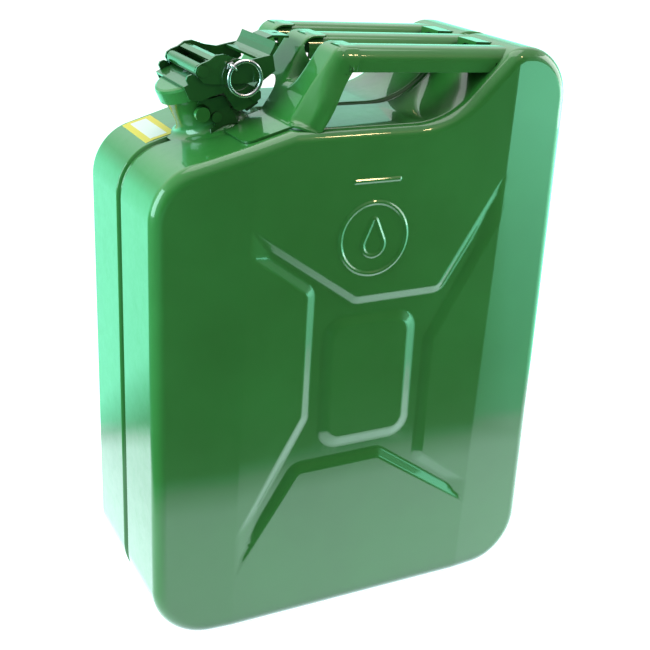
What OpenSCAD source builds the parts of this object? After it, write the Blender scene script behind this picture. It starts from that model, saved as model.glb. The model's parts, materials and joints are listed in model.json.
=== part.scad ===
// Pressed-steel fuel can, 20 litres. Two welded half shells, a sloped spout with a
// hinged cap and lever, three carrying handles and a recessed weld seam.
// Millimetres, +Z up, +X towards the hump side, spout at -X. The origin is the
// middle of the flat base.

/* [Can body] */
// Width of the can from the spout side to the hump side
can_w = 345; // [335:1:355]
// Thickness of the can from face to face
can_t = 165; // [160:1:170]
// Height of the flat saddle under the handles
saddle_z = 413; // [408:1:416]
// Height of the hump that the handles run into
hump_z = 466; // [464:1:467]
// Height where the spout-side shoulder line meets the side
shoulder_z = 383; // [378:1:388]
// Sheet thickness of the two shells
sheet = 1; // [0.8:0.1:1.2]
// Radius between a face and the sides
edge_r = 10; // [8:0.5:12]
// Depth of the groove that hides the weld seam
groove_d = 3.2; // [2.5:0.1:4]

/* [Face pressing] */
// How far the pressed cross is sunk into each face
press_d = 3; // [2:0.25:4]
// Middle of the pressed cross, measured from the can's middle
press_x = 4; // [0:0.5:6]
// Height of the middle of the pressed cross
press_z = 209; // [204:1:214]
// Radius of the raised ring above the cross
ring_bead_r = 28; // [24:0.5:30]

/* [Spout and cap] */
// Lean of the spout away from the handles, in degrees
spout_lean = 25; // [23:0.5:27]
// Radius of the spout's mouth, where a pouring spout fits
bore_r = 23; // [22.5:0.25:23.5]
// Height of the spout's lip above the shoulder, along its axis
lip_h = 38; // [37:0.5:39]
// Outer radius of the cap
cap_r = 28.8; // [28.6:0.1:28.9]
// Sheet thickness of the cap, yoke, lever and bracket
strap_t = 2; // [1.8:0.1:2]

/* [Handles] */
// Height of the handles' crest at the spout end
handle_z = 470; // [468:0.5:472]
// Width of one handle
handle_w = 30; // [28:1:30]
// Height of one handle's channel
handle_h = 18; // [16:1:20]
// Distance between the middles of two handles
handle_pitch = 57; // [56:0.5:57]
// Downward slope of the handles towards the hump, in degrees
handle_slope = 2.2; // [2.2:0.1:2.6]

/* [Hidden] */

green = [0.18, 0.42, 0.25];
steel = [0.75, 0.76, 0.78];
rubber = [0.08, 0.08, 0.08];
paper = [0.93, 0.90, 0.62];

half_w = can_w / 2;
half_t = can_t / 2;
seam_half = 1.2;       // half the gap between the shells' rims, filled by the weld
arc_steps = 7;
running = 0.05;        // radial clearance of a turning fit
weld_gap = 0.1;        // gap left between two welded pieces

// The can's side outline as corners [x, z, radius], anticlockwise seen from the front.
body_corners = [
    [-half_w, 0, 46],
    [half_w, 0, 46],
    [half_w, hump_z, 42],
    [half_w - 54, hump_z, 22],
    [64, saddle_z, 70],
    [-66, saddle_z, 14],
    [-half_w, shoulder_z, 42]
];
shoulder_tilt = atan2(saddle_z - shoulder_z, half_w - 66);

// Where the spout's axis crosses the shoulder.
spout_x = -98.4;
spout_z = saddle_z - (-66 - spout_x) * tan(shoulder_tilt);

neck_r = bore_r + 1.6;
throat_r = bore_r - 0.4;           // the spout's bore below its mouth
mouth_depth = 11;
pipe_r = 4;
lip_bead = 1.3;
lip_r = bore_r + 2 * lip_bead;
cap_skirt_h = 11.4;
cap_top = lip_h + 5.2;
strap_top = cap_top + 0.2 + strap_t;
cap_sheet = 1.2;

// Turning points of the closure, in the spout's own frame [along the shoulder, up the axis].
hinge_u = 30;
hinge_v = 15;
roll_u = 0.5;
roll_r = 4.7;
roll_v = strap_top - 0.3 + roll_r;
pin_r = 2.5;
stud_u = -11;
stud_v = 19.5;
stud_r = 5.5;
lock_u = 21;
lock_v = 43.5;
lock_r = 2;

yoke_in = cap_r + 0.3;             // inner face of the yoke's side arms
yoke_out = yoke_in + strap_t;
cheek_in = yoke_out + 0.3;         // inner face of the lever's cheeks
cheek_out = cheek_in + strap_t;

// The split ring hangs from the locking pin's eye.
eye_y = -(cheek_out + 5.2);
eye_ring_r = 3.1;
eye_wire_r = 0.9;
hang_angle = 42;                   // direction of the ring from its eye, below level
ring_r = 12.5;
ring_wire_r = 1.5;

comb_half = 74;
comb_foot_x = -100;
comb_bend_x = -66;
comb_top_x = -27;
comb_t = 2;
comb_lean = atan2(comb_top_x - comb_bend_x, handle_z - saddle_z);

// ---------- outline helpers ----------

function unit(v) = v / norm(v);
function flat(p) = [p.x, p.y];

// A corner moved inwards by t; its radius shrinks outside bends and grows in hollows.
function inset_corner(a, b, c, t) =
    let (e1 = unit(flat(b) - flat(a)), e2 = unit(flat(c) - flat(b)))
    let (n1 = [-e1.y, e1.x], n2 = [-e2.y, e2.x], turn = e1.x * e2.y - e1.y * e2.x)
    let (k = t / (1 + n1 * n2))
    [b.x + k * (n1.x + n2.x), b.y + k * (n1.y + n2.y), b.z - sign(turn) * t];

function inset(corners, t) =
    let (n = len(corners))
    [for (i = [0 : n - 1])
        inset_corner(corners[(i + n - 1) % n], corners[i], corners[(i + 1) % n], t)];

// Points along the round of one corner.
function corner_arc(a, b, c) =
    let (ea = unit(flat(a) - flat(b)), ec = unit(flat(c) - flat(b)), half = acos(ea * ec) / 2)
    let (centre = flat(b) + unit(ea + ec) * b.z / sin(half))
    let (start = flat(b) + ea * b.z / tan(half) - centre, a0 = atan2(start.y, start.x))
    let (turn = sign(-ea.x * ec.y + ea.y * ec.x), sweep = turn * (180 - 2 * half))
    [for (i = [0 : arc_steps])
        centre + b.z * [cos(a0 + sweep * i / arc_steps), sin(a0 + sweep * i / arc_steps)]];

function rounded(corners) =
    let (n = len(corners))
    [for (i = [0 : n - 1])
        each corner_arc(corners[(i + n - 1) % n], corners[i], corners[(i + 1) % n])];

function body_outline(t) = rounded(inset(body_corners, t));

// A solid that joins outlines given as [y, inset] layers, one after another.
module skin(layers) {
    n = len(body_outline(0));
    last = (len(layers) - 1) * n;
    points = [for (layer = layers) for (p = body_outline(layer[1])) [p.x, layer[0], p.y]];
    first_cap = [for (i = [n - 1 : -1 : 0]) i];
    last_cap = [for (i = [0 : n - 1]) last + i];
    sides = [for (k = [0 : len(layers) - 2]) for (i = [0 : n - 1])
        let (a = k * n + i, b = k * n + (i + 1) % n)
        each [[a, b, b + n], [a, b + n, a + n]]];
    polyhedron(points, concat([first_cap], sides, [last_cap]));
}

// The can's outline as a straight block through y, grown by g.
module body_block(y0, y1, g) {
    translate([0, y1, 0]) rotate([90, 0, 0])
        linear_extrude(y1 - y0) polygon(body_outline(-g));
}

// Moves to the spout's frame: X along the shoulder, Z up the spout's axis.
module at_spout() {
    translate([spout_x, 0, spout_z]) rotate([0, -spout_lean, 0]) children();
}

// A plate in the spout's frame between two y values, from points [u, v].
module side_plate(y0, y1, points) {
    translate([0, y1, 0]) rotate([90, 0, 0]) linear_extrude(y1 - y0) polygon(points);
}

// A round bar along Y in the spout's frame.
module cross_bar(u, v, r, y0, y1) {
    translate([u, y1, v]) rotate([90, 0, 0]) cylinder(h = y1 - y0, r = r, $fn = 48);
}

module both_sides() {
    children();
    mirror([0, 1, 0]) children();
}

// ---------- can body ----------

// The sunken cross: four arms between the flat panels, the same when turned half round.
cross_half = [[-107, 138.5], [-107, 118.5], [-56.5, 79], [-58, -24.5], [-111, -120.5],
              [-111, -160], [-58.5, -73], [13.5, -72.5]];
cross_points = concat(cross_half, -cross_half);
plateau = [74, 103];      // size of the raised middle panel

module cross_shape(grow) {
    difference() {
        offset(delta = grow) polygon(cross_points);
        square(plateau - 2 * grow * [1, 1], center = true);
    }
}

module cross_block(y0, y1, grow) {
    translate([press_x, y1, press_z]) rotate([90, 0, 0])
        linear_extrude(y1 - y0) cross_shape(grow);
}

module shell_blank() {
    face = -half_t;
    round_out = [for (a = [0 : 30 : 90]) [face + edge_r * (1 - cos(a)), edge_r * (1 - sin(a))]];
    rim = [[-6, 0], [-4.6, groove_d], [-seam_half, groove_d],
           [-seam_half, groove_d + sheet], [-5, groove_d + sheet], [-6.6, sheet]];
    inner_r = edge_r - sheet;
    round_in = [for (a = [90 : -30 : 0])
        [face + sheet + inner_r * (1 - cos(a)), sheet + inner_r * (1 - sin(a))]];
    skin(concat(round_out, rim, round_in));
}

module ring_bead(r, width) {
    translate([press_x, -half_t + 0.4, 328]) rotate([90, 0, 0])
        rotate_extrude($fn = 72) translate([r, 0]) circle(width, $fn = 16);
}

module half_shell() {
    difference() {
        union() {
            shell_blank();
            cross_block(-half_t + sheet / 2, -half_t + press_d + sheet, sheet);
            ring_bead(ring_bead_r, 1.6);
        }
        cross_block(-half_t - 1, -half_t + press_d, 0);
        at_spout() translate([0, 0, -30]) cylinder(h = 60, r = neck_r + weld_gap, $fn = 96);
    }
}

module front_shell() {
    color(green) half_shell();
}

module rear_shell() {
    color(green) mirror([0, 1, 0]) half_shell();
}

// The weld bead that closes the two rims at the bottom of the groove.
module weld_seam() {
    bead = seam_half - 0.02;
    color(green) difference() {
        body_block(-bead, bead, -groove_d + 0.6);
        body_block(-bead - 1, bead + 1, -groove_d - 2);
        at_spout() translate([0, 0, -30]) cylinder(h = 60, r = neck_r + 6, $fn = 96);
    }
}

// ---------- spout ----------

module spout_neck() {
    foot_r = 29;
    color(green) difference() {
        union() {
            at_spout() translate([0, 0, -10])
                cylinder(h = 10 + lip_h - lip_bead, r = neck_r, $fn = 96);
            at_spout() translate([0, 0, lip_h - lip_bead])
                rotate_extrude($fn = 96) translate([lip_r - lip_bead, 0])
                    circle(lip_bead, $fn = 24);
            difference() {
                at_spout() translate([0, 0, -12])
                    cylinder(h = 20, r1 = foot_r + 6, r2 = neck_r - 0.5, $fn = 96);
                body_block(-half_t, half_t, weld_gap);
            }
        }
        at_spout() translate([0, 0, -40]) cylinder(h = 40 + lip_h, r = throat_r, $fn = 96);
        at_spout() translate([0, 0, lip_h - mouth_depth])
            cylinder(h = mouth_depth + 5, r = bore_r, $fn = 96);
    }
}

// A point of the spout's frame [u, v] as [x, z] of the can.
function from_spout(u, v) = [spout_x + u * cos(spout_lean) - v * sin(spout_lean),
                             spout_z + u * sin(spout_lean) + v * cos(spout_lean)];

// The air pipe: down the spout, along under the saddle and up into the hump.
module breather_tube() {
    pipe_u = throat_r - pipe_r - weld_gap;
    start = from_spout(pipe_u, lip_h - mouth_depth - 0.5);
    low = concat(from_spout(pipe_u, -20), 10);
    rise = [72, saddle_z - 13, 14];
    end = [112, saddle_z + 28];
    color(steel) hollow_pipe(concat([start], corner_arc(start, low, rise),
                                    corner_arc(low, rise, end), [end]), pipe_r, pipe_r - 0.8);
}

// A hollow pipe along points [x, z] of the plane y = 0: rings of points run along the
// outside and come back along the inside, and faces join each ring to the next.
module hollow_pipe(path, r_out, r_in) {
    sides = 16;
    n = len(path);
    outward = [for (i = [0 : n - 1])
        let (d = unit(path[min(i + 1, n - 1)] - path[max(i - 1, 0)])) [-d.y, d.x]];
    loop = concat([for (i = [0 : n - 1]) [i, r_out]], [for (i = [n - 1 : -1 : 0]) [i, r_in]]);
    points = [for (stop = loop) for (k = [0 : sides - 1])
        let (p = path[stop[0]] + outward[stop[0]] * stop[1] * cos(360 * k / sides))
        [p.x, stop[1] * sin(360 * k / sides), p.y]];
    faces = [for (i = [0 : 2 * n - 1]) for (k = [0 : sides - 1])
        let (a = i * sides, b = (i + 1) % (2 * n) * sides, next = (k + 1) % sides)
        each [[a + k, b + next, b + k], [a + k, a + next, b + next]]];
    polyhedron(points, faces);
}

// The two short studs that stand out of the spout's sides.
module side_studs() {
    inner = sqrt(pow(neck_r + weld_gap, 2) - pow(abs(stud_u) - stud_r, 2));
    color(green) at_spout() both_sides() cross_bar(stud_u, stud_v, stud_r, -yoke_in + 0.4, -inner);
}

// ---------- hinge ----------

wrap_r = neck_r + 0.2;                       // inner flat of the eight-sided wrap
wrap_vertex = wrap_r / cos(22.5);
wrap_out = wrap_r + strap_t;
ear_y = 13;

// The plate bent round the back of the spout, with hooked cheeks and two hinge ears.
module hinge_bracket() {
    cheek = [[-11, -20], [-11, 3], [-9.5, 6.5], [-5.5, 6.8], [-4.8, 13], [-4.6, 22],
             [-7, 26], [-10.5, 28], [-9, 29.5], [-4, 28.5], [1, 26.5], [9, 25], [10.4, 22], [10.6, -20]];
    ear = [[20, 0], [35, 2], [35.5, 15], [33.5, 19.5], [30, 21], [26.5, 19.5], [20, 10]];
    color(green) difference() {
        at_spout() {
            intersection() {
                wrap_ring(-20, 60);
                both_sides() side_plate(-wrap_out - 1, -10, cheek);
            }
            intersection() {
                wrap_ring(-20, 32);
                translate([wrap_vertex * sin(22.5) - 0.1, -60, -20]) cube([60, 120, 40]);
            }
            both_sides() difference() {
                side_plate(-ear_y - strap_t, -ear_y, ear);
                cross_bar(hinge_u, hinge_v, pin_r + running, -30, 0);
                cylinder(h = 60, r = wrap_out - 1, center = true, $fn = 96);
            }
        }
        body_block(-half_t, half_t, weld_gap);
        at_spout() translate([0, 0, -20]) cylinder(h = 60, r = neck_r + weld_gap, $fn = 96);
        foot_r = 36.2;
        at_spout() translate([0, 0, -12.5])
            cylinder(h = 20.5, r1 = foot_r, r2 = neck_r - 0.2, $fn = 96);
    }
}

// The eight-sided tube that the bracket is cut from.
module wrap_ring(v, h) {
    translate([0, 0, v]) rotate([0, 0, 22.5]) difference() {
        cylinder(h = h, r = wrap_out / cos(22.5), $fn = 8);
        translate([0, 0, -1]) cylinder(h = h + 2, r = wrap_vertex, $fn = 8);
    }
}

// Rivet heads on the bracket's cheeks.
module bracket_rivets() {
    color(green) at_spout() both_sides()
        cross_bar(-2, 12.5, 4, -wrap_out - 1.4, -wrap_out - 0.05);
}

// The rod that the cap's yoke turns on, with a flat head at each end.
module hinge_pin() {
    color(green) at_spout() {
        cross_bar(hinge_u, hinge_v, pin_r, -yoke_out - 0.1, yoke_out + 0.1);
        both_sides() cross_bar(hinge_u, hinge_v, pin_r + 1.6, -yoke_out - 1.4, -yoke_out - 0.1);
    }
}

// ---------- cap and yoke ----------

// The strap over the cap with an arm down each side to the hinge.
module cap_yoke() {
    arm = [[-16, strap_top], [-16.3, 36], [-14.5, 33], [-8, 30], [0, 29.5], [9.5, 27.5],
           [11.5, 14], [13.5, 10.5], [18, 9], [29, 9.5], [33.6, 10.5], [35.5, 15],
           [33, 19.9], [24, 30], [14, 40], [14, strap_top]];
    ear = [[-12.5, strap_top - 1], [-12.5, strap_top + 3.5], [-10.5, strap_top + 5.5],
           [-7, strap_top + 5.3], [-4.6, strap_top + 3], [-4.2, strap_top - 1]];
    post = [[-4.2, strap_top - 1], [-4.2, roll_v], [-3, roll_v + 3.2], [roll_u, roll_v + 4.6],
            [4, roll_v + 3.2], [5.2, roll_v], [5.2, strap_top - 1]];
    color(green) at_spout() difference() {
        union() {
            translate([-16, -yoke_out, strap_top - strap_t]) cube([30, 2 * yoke_out, strap_t]);
            both_sides() side_plate(-yoke_out, -yoke_in, arm);
            both_sides() side_plate(-yoke_out, -yoke_in, ear);
            both_sides() side_plate(-yoke_out, -yoke_in, post);
            cross_bar(roll_u, roll_v, roll_r, -yoke_in - 0.5, yoke_in + 0.5);
        }
        cross_bar(hinge_u, hinge_v, pin_r + running, -40, 40);
        cross_bar(roll_u, roll_v, pin_r + running, -40, 40);
        cylinder(h = strap_top, r = 3 + weld_gap, $fn = 48);
        translate([0, 0, strap_top - 1]) cylinder(h = 1, r = 4.6, $fn = 48);
    }
}

// The rivet that hangs the cap from the strap and lets it turn.
module cap_rivet() {
    color(steel) at_spout() {
        translate([0, 0, cap_top - cap_sheet - 1.4]) cylinder(h = 1.3, r = 6, $fn = 48);
        translate([0, 0, cap_top - cap_sheet - 0.2])
            cylinder(h = strap_top - cap_top + cap_sheet, r = 3, $fn = 48);
        translate([0, 0, strap_top - 0.95]) cylinder(h = 0.85, r = 4.5, $fn = 48);
    }
}

module cap() {
    color(green) at_spout() rotate_extrude($fn = 96)
        polygon([[3 + running, cap_top], [cap_r - 2.5, cap_top], [cap_r - 0.7, cap_top - 0.8],
                 [cap_r, cap_top - 2.6], [cap_r, cap_top - cap_skirt_h],
                 [cap_r - cap_sheet, cap_top - cap_skirt_h],
                 [cap_r - cap_sheet, cap_top - 2.8], [cap_r - 3, cap_top - cap_sheet],
                 [3 + running, cap_top - cap_sheet]]);
}

// The rubber ring that seals the cap on the spout's lip.
module cap_gasket() {
    color(rubber) at_spout() translate([0, 0, lip_h + 0.1]) difference() {
        cylinder(h = cap_top - cap_sheet - lip_h - 0.2, r = lip_r - 0.2, $fn = 96);
        translate([0, 0, -1]) cylinder(h = 10, r = bore_r - 2.5, $fn = 96);
    }
}

// ---------- lever ----------

// Sheet bent along a line of points [u, v], given thickness t and half width.
module bent_sheet(points, t, half_width) {
    n = len(points);
    normals = [for (i = [0 : n - 1])
        let (d = unit(points[min(i + 1, n - 1)] - points[max(i - 1, 0)])) [-d.y, d.x]];
    under = [for (i = [n - 1 : -1 : 0]) points[i] - normals[i] * t];
    side_plate(-half_width, half_width, concat(points, under));
}

// The U-shaped lever: two cheeks joined by a front web, a rear web and a thumb tongue.
module clamp_lever() {
    cheek = [[-4.4, roll_v - 2.2], [-4.6, roll_v + 1.5], [-2, roll_v + 4.6], [2, roll_v + 5.2],
             [8, 54.5], [14, 55.5], [20, 53.5], [28, 46], [36, 40.6], [45, 38.4], [54, 36],
             [51, 24.4], [39.5, 22.3], [26, 27], [12.5, 33.2], [2, 38.8], [-2.5, 42]];
    front_web = [[9, 54.2], [13, 54.6], [17, 52.6], [20.5, 49]];
    tongue_root = [[43, 38.6], [48, 36.6], [52, 36.6], [56, 39.4], [60, 43]];
    tongue = [[57, 40.4], [61, 42.6], [66, 42.2], [72, 39.2], [78, 36]];
    color(green) at_spout() difference() {
        union() {
            both_sides() side_plate(-cheek_out, -cheek_in, cheek);
            bent_sheet(front_web, 1.8, cheek_in + 0.5);
            bent_sheet(tongue_root, 1.8, cheek_in + 0.5);
            bent_sheet(tongue, 1.8, 13);
        }
        cross_bar(roll_u, roll_v, pin_r + running, -50, 50);
        cross_bar(lock_u, lock_v, lock_r + running, -50, 0);
        translate([71.5, 0, 36]) rotate([0, 25, 0]) cylinder(h = 20, r = 2.2, center = true, $fn = 36);
    }
}

module lever_pin() {
    color(green) at_spout() {
        cross_bar(roll_u, roll_v, pin_r, -cheek_out - 0.1, cheek_out + 0.1);
        both_sides() cross_bar(roll_u, roll_v, pin_r + 1.8, -cheek_out - 1.3, -cheek_out - 0.1);
    }
}

// ---------- locking pin and its ring ----------

module locking_pin() {
    color(steel) at_spout() {
        cross_bar(lock_u, lock_v, lock_r, -cheek_out - 2.5, -22);
        cross_bar(lock_u, lock_v, lock_r + 1.4, -cheek_out - 1.8, -cheek_out - 0.3);
        translate([lock_u, eye_y, lock_v]) rotate([0, spout_lean, 0])
            rotate([0, hang_angle, 0])
                rotate_extrude($fn = 48) translate([eye_ring_r, 0]) circle(eye_wire_r, $fn = 16);
    }
}

module pin_ring() {
    eye = from_spout(lock_u, lock_v);
    color(steel)
        translate([eye.x + ring_r * cos(hang_angle), eye_y, eye.y - ring_r * sin(hang_angle)])
            rotate([90, 0, 0])
                rotate_extrude($fn = 72) translate([ring_r, 0]) circle(ring_wire_r, $fn = 20);
}

// ---------- handles ----------

// The channel section of a handle, its crest at the origin.
module handle_section(w, h, r) {
    intersection() {
        union() {
            for (side = [-1, 1]) translate([side * (w / 2 - r), -r]) circle(r, $fn = 64);
            translate([r - w / 2, -r]) square([w - 2 * r, r]);
            translate([-w / 2, -h]) square([w, h - r]);
        }
        translate([-w / 2, -h]) square([w, h]);
    }
}

module handle_channel(y) {
    wall = 1.5;
    reach = 20;
    length = half_w - comb_top_x;
    color(green) difference() {
        translate([comb_top_x, y, handle_z]) rotate([0, handle_slope, 0]) translate([-reach, 0, 0])
            rotate([90, 0, 90]) linear_extrude(reach + length) difference() {
                handle_section(handle_w, handle_h, 11);
                translate([0, -wall])
                    handle_section(handle_w - 2 * wall, handle_h + 2, 9.5);
            }
        body_block(-half_t, half_t, weld_gap);
        translate([half_w - 36, y - 50, 300]) cube([100, 100, 300]);
        at_comb() translate([-50, y - 50, -weld_gap]) cube([200, 100, 100]);
    }
}

module handle_front() {
    handle_channel(-handle_pitch);
}

module handle_middle() {
    handle_channel(0);
}

module handle_rear() {
    handle_channel(handle_pitch);
}

// Moves to the leaning plate: X up the plate, Y across the can, Z square to the plate.
module at_comb() {
    translate([comb_bend_x, 0, saddle_z + 1]) rotate([0, comb_lean - 90, 0]) children();
}

// The front support: a foot on the shoulder and a leaning plate with three channel prongs.
module handle_bracket() {
    rise = (handle_z - saddle_z) / cos(comb_lean) - 3;
    prong_half = handle_w / 2 + weld_gap + comb_t;
    flank_d = 15;
    window_half = 15;
    color(green) difference() {
        union() {
            difference() {
                at_comb() translate([-12, -comb_half, 0]) cube([rise + 12, 2 * comb_half, comb_t]);
                for (side = [-1, 1]) at_comb()
                    translate([rise - 16, side * handle_pitch / 2, -1]) {
                        cylinder(h = 5, r = 9.2, $fn = 48);
                        translate([0, -9.2, 0]) cube([40, 18.4, 5]);
                    }
            }
            for (k = [-1 : 1]) for (side = [-1, 1]) at_comb()
                translate([18, k * handle_pitch + side * (prong_half - comb_t / 2) - comb_t / 2,
                           -flank_d])
                    cube([rise - 18, comb_t, flank_d + 0.5]);
            foot_plate(comb_half);
        }
        at_comb() translate([0, 0, -1]) {
            translate([14, 0, 0]) cylinder(h = 5, r = window_half, $fn = 48);
            translate([-30, -window_half, 0]) cube([44, 2 * window_half, 5]);
        }
        translate([comb_foot_x - 10, -window_half, 380]) cube([32, 2 * window_half, 60]);
        body_block(-half_t, half_t, weld_gap);
        at_spout() translate([0, 0, -20]) cylinder(h = 40, r = wrap_out / cos(22.5) + 4, $fn = 64);
        translate([0, 0, handle_z + 10]) cube([400, 400, 20], center = true);
    }
}

// The flange that rests on the shoulder.
module foot_plate(half_width) {
    length = (comb_bend_x - comb_foot_x) / cos(shoulder_tilt);
    translate([comb_bend_x, 0, saddle_z]) rotate([0, -shoulder_tilt, 0])
        translate([-length, -half_width, weld_gap]) cube([length + 2, 2 * half_width, comb_t]);
}

// Arched plates that fill the gaps between the handles where they meet the hump.
module handle_saddles() {
    gap = handle_pitch - handle_w - 2 * weld_gap;
    length = 30;
    color(green) difference() {
        both_sides() translate([105, handle_pitch / 2, handle_z - 4.5]) rotate([0, 3, 0])
            difference() {
                translate([0, -gap / 2, -12]) cube([length, gap, 12]);
                translate([-1, 0, -14]) rotate([0, 90, 0])
                    cylinder(h = length + 2, r = gap / 2 - 2.5, $fn = 48);
            }
        body_block(-half_t, half_t, weld_gap);
    }
}

// A blank paper label on the rear half's shoulder.
module info_label() {
    color(paper) intersection() {
        difference() {
            body_block(8, 68, 0.3);
            body_block(0, 80, 0.05);
        }
        translate([-148, 0, 350]) cube([23, 80, 100]);
    }
}

front_shell();
rear_shell();
weld_seam();
spout_neck();
breather_tube();
side_studs();
hinge_bracket();
bracket_rivets();
hinge_pin();
cap_yoke();
cap_rivet();
cap();
cap_gasket();
clamp_lever();
lever_pin();
locking_pin();
pin_ring();
handle_bracket();
handle_front();
handle_middle();
handle_rear();
handle_saddles();
info_label();
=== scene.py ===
"""Looks of a pressed-steel fuel can: sheet-metal shells, handles, closure, paint and light."""

import json
import math

import bpy
import numpy as np
from mathutils import Matrix, Vector, geometry, noise

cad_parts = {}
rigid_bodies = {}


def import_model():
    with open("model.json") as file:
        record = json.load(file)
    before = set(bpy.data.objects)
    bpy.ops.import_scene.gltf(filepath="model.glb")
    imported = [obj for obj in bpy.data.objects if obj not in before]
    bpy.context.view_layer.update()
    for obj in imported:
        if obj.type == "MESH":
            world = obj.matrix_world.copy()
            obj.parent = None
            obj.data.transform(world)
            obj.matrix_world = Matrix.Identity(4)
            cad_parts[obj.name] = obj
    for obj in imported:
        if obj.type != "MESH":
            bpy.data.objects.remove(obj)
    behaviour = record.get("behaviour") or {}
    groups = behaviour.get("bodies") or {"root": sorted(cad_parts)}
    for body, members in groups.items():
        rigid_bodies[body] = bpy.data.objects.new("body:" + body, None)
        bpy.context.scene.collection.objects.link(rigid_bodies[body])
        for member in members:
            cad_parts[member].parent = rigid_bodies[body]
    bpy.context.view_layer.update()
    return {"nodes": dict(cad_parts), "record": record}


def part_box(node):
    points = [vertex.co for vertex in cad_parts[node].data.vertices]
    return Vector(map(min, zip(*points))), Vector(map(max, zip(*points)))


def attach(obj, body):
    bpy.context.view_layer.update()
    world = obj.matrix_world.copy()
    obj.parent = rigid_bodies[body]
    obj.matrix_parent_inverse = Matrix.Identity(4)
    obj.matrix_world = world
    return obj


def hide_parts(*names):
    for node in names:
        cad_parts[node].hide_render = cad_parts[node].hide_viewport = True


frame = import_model()
nodes = frame["nodes"]

# Lengths below are millimetres in the CAD frame; meshes are made in metres.
MM = 0.001

shell_lo, shell_hi = (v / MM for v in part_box("front_shell"))
HALF_W = shell_hi.x
HUMP_Z = shell_hi.z
BEAD_H = 1.2                       # height of the raised beads on a face
FACE_Y = shell_lo.y + BEAD_H       # the flat face of the front half
SADDLE_Z = HUMP_Z - 53
SHOULDER_Z = HUMP_Z - 83
SADDLE_X = -66                     # where the saddle turns into the shoulder
HOLLOW_X = 64                      # where the saddle turns up towards the hump
HUMP_X = HALF_W - 54               # where the hump's slope meets its top
EDGE_R = 10
GROOVE_D = 3.2
SHEET = 1.0

mounts = {m["name"]: m for m in frame["record"]["mounts"]}
SPOUT_AXIS = Vector(mounts["spout_bore"]["axis"])
SPOUT_AT = Vector(mounts["spout_bore"]["pos_m"]) / MM
SPOUT_X = -98.4                    # where the spout's axis crosses the shoulder


# ---------- outline of the can ----------

def unit(v):
    return v / np.linalg.norm(v)


def body_corners():
    """Corners (x, z, radius) of the can's side outline, anticlockwise."""
    return [(-HALF_W, 0, 46), (HALF_W, 0, 46), (HALF_W, HUMP_Z, 42), (HUMP_X, HUMP_Z, 22),
            (HOLLOW_X, SADDLE_Z, 70), (SADDLE_X, SADDLE_Z, 14), (-HALF_W, SHOULDER_Z, 42)]


def inset_corners(corners, t):
    """The corners moved inwards by t; radii shrink at bends and grow in hollows."""
    moved = []
    for i, b in enumerate(corners):
        a, c = np.array(corners[i - 1]), np.array(corners[(i + 1) % len(corners)])
        b = np.array(b, float)
        e1, e2 = unit((b - a)[:2]), unit((c - b)[:2])
        n1, n2 = np.array([-e1[1], e1[0]]), np.array([-e2[1], e2[0]])
        turn = np.sign(e1[0] * e2[1] - e1[1] * e2[0])
        place = b[:2] + (n1 + n2) * t / (1 + n1 @ n2)
        moved.append(np.array([place[0], place[1], b[2] - turn * t]))
    return moved


def outline(t, arc_steps=16, spacing=8.0):
    """Points and outward normals of the outline at inset t, the same count for every t."""
    def arcs(corners):
        found = []
        for i, b in enumerate(corners):
            a, c = corners[i - 1][:2], corners[(i + 1) % len(corners)][:2]
            ea, ec = unit(a - b[:2]), unit(c - b[:2])
            half = math.acos(np.clip(ea @ ec, -1, 1)) / 2
            centre = b[:2] + unit(ea + ec) * b[2] / math.sin(half)
            start = b[:2] + ea * b[2] / math.tan(half) - centre
            a0 = math.atan2(start[1], start[0])
            turn = np.sign(-ea[0] * ec[1] + ea[1] * ec[0])
            ang = a0 + turn * (math.pi - 2 * half) * np.linspace(0, 1, arc_steps + 1)
            ray = np.stack([np.cos(ang), np.sin(ang)], 1)
            found.append((centre + b[2] * ray, ray * turn))
        return found
    base = arcs(inset_corners(body_corners(), 0))
    here = arcs(inset_corners(body_corners(), t))
    points, normals = [], []
    for i, (p, n) in enumerate(here):
        nxt = here[(i + 1) % len(here)][0]
        gap = np.linalg.norm(base[(i + 1) % len(base)][0][0] - base[i][0][-1])
        steps = max(1, round(gap / spacing))
        along = np.linspace(0, 1, steps + 1)[1:-1, None]
        points += [p, p[-1] * (1 - along) + nxt[0] * along]
        normals += [n, np.repeat(n[-1:], len(along), 0)]
    return np.concatenate(points), np.concatenate(normals)


def inside(points, loop):
    """Even-odd test of points against a closed loop."""
    x, z = points[:, :1], points[:, 1:]
    a, b = loop, np.roll(loop, -1, 0)
    crosses = (a[:, 1] > z) != (b[:, 1] > z)
    with np.errstate(divide="ignore", invalid="ignore"):
        at = a[:, 0] + (z - a[:, 1]) / (b[:, 1] - a[:, 1]) * (b[:, 0] - a[:, 0])
    return (np.where(crosses, x < at, False).sum(1) % 2) == 1


# ---------- the pressed face ----------

PRESS_X, PRESS_Z, PRESS_D = 4, 209, 3.3
WALL_W = 7.5               # width of the cross's sloping walls
PANEL_R = 7.0              # rounding of the panels' corners
PLATEAU = (33, 48, 10)     # half width, half height and corner radius of the middle panel
END_W = 16.0               # length of the ramp that ends an arm
CREASE_U = 108.0           # the creases' distance from the cross's middle
CREASE_LEAN = 0.03
STRIP_SLOPE = 0.08         # how the strips beside the creases fall back
TOP_PANEL = [(-107, 138.5), (-13.5, 72.5), (58.5, 73), (113, 160)]
SIDE_PANEL = [(111.5, 120.5), (58, 24.5), (56.5, -79), (110, -118.5)]
RING_AT, RING_R = (0.7, 327.7), 28.3
BAR_AT, BAR_HALF = (1.5, 373.0), 18.5
BEAD_W = 2.6
DROP_LOW, DROP_R, DROP_TIP_R, DROP_HEIGHT = -5.0, 9.0, 1.5, 19.0
TURN = 0.2                 # share of a wall's width taken by the fillets at its ends
LINE_STEP = 3.0            # longest step along a line that the face's mesh follows


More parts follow.
